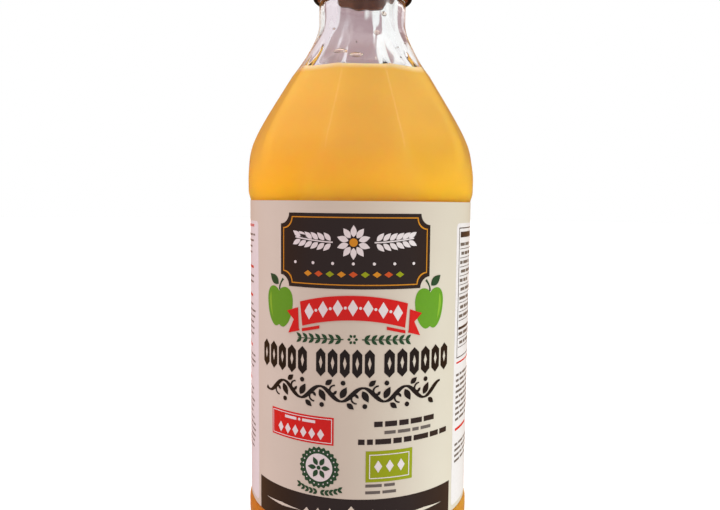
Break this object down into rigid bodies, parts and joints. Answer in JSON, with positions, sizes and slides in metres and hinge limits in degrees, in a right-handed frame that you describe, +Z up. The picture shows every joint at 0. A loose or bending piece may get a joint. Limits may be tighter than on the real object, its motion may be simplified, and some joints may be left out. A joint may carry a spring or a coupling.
{
  "type": "vinegar bottle",
  "caption": "Clear glass bottle with a panelled shoulder, screw cap and wrap-around paper label, filled with cloudy amber vinegar.",
  "frame": {"origin": "centre of the ring that the bottle stands on", "axes": "+Z up along the bottle's axis; the middle of the label's front faces -Y"},
  "size_m": [0.073, 0.073, 0.1934],
  "materials": {
    "bottle_glass": "polished",
    "vinegar": "gloss",
    "label_paper": "satin",
    "cap_plastic": "satin"
  },
  "bodies": {
    "root": {"bottle": "bottle_glass", "vinegar": "vinegar", "label": "label_paper", "cap": "cap_plastic"}
  },
  "joints": []
}
